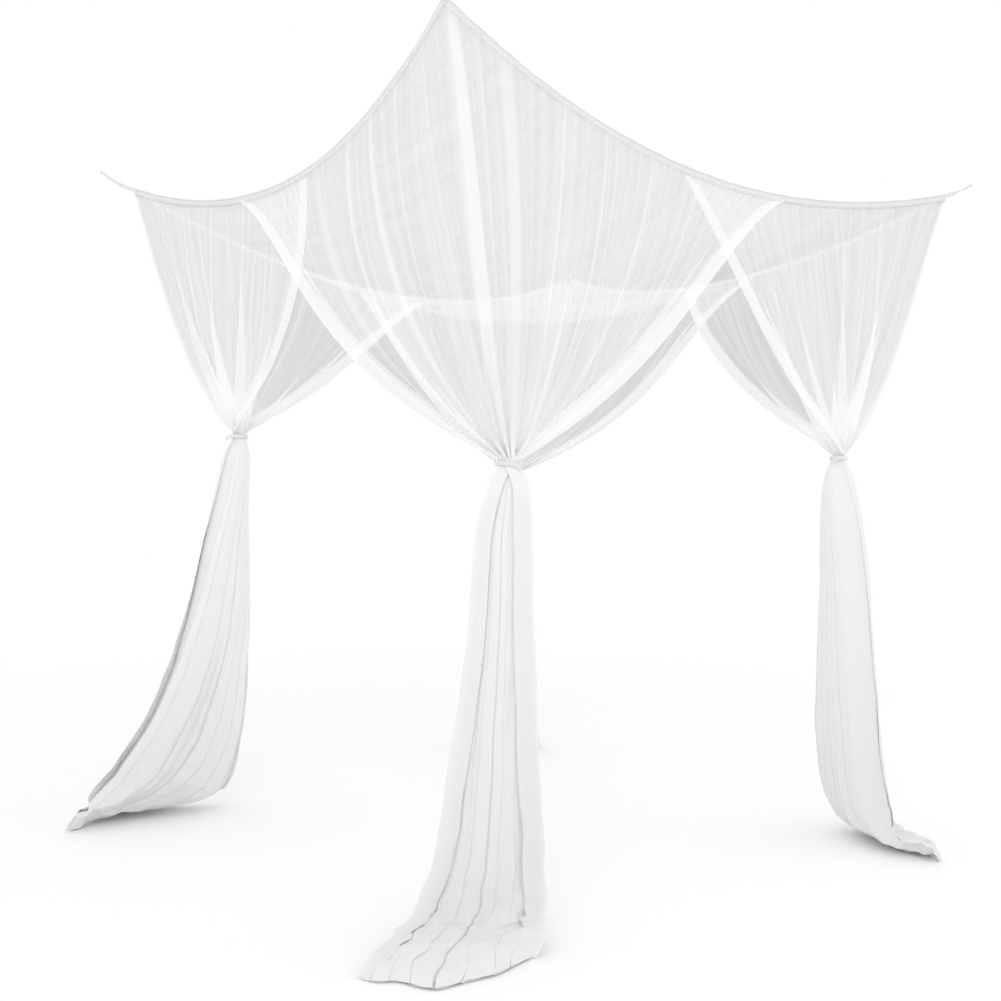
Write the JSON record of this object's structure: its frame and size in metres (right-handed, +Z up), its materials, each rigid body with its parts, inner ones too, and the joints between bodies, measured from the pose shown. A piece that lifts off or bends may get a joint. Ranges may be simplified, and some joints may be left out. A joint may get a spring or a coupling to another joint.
{
  "type": "mosquito net canopy",
  "caption": "Sheer bed net canopy hung by its corners: a sagging bound roof, and a curtain round each corner drawn in by a tie and trailing on the floor.",
  "frame": {"origin": "middle of the outer end of the front left corner's strap, where that corner is hung", "axes": "+Z up, +X along the front edge from the front left corner to the front right, +Y from the front edge to the back; the floor is at z = -2.2015 m and the roof's middle is at x = 1.115 m, y = 1.015 m"},
  "size_m": [2.42, 2.124, 2.2105],
  "materials": {
    "net": "sheer white knitted polyester net",
    "binding": "white woven polyester binding",
    "strap": "white woven polyester tape",
    "tie": "white woven polyester tape"
  },
  "bodies": {
    "root": {"roof_net": "net", "curtain_front_left": "net", "curtain_front_right": "net", "curtain_back_left": "net", "curtain_back_right": "net", "binding_front": "binding", "binding_back": "binding", "binding_left": "binding", "binding_right": "binding", "strap_front_left": "strap", "strap_front_right": "strap", "strap_back_left": "strap", "strap_back_right": "strap", "tie_front_left": "tie", "tie_front_right": "tie", "tie_back_left": "tie", "tie_back_right": "tie"}
  },
  "joints": []
}
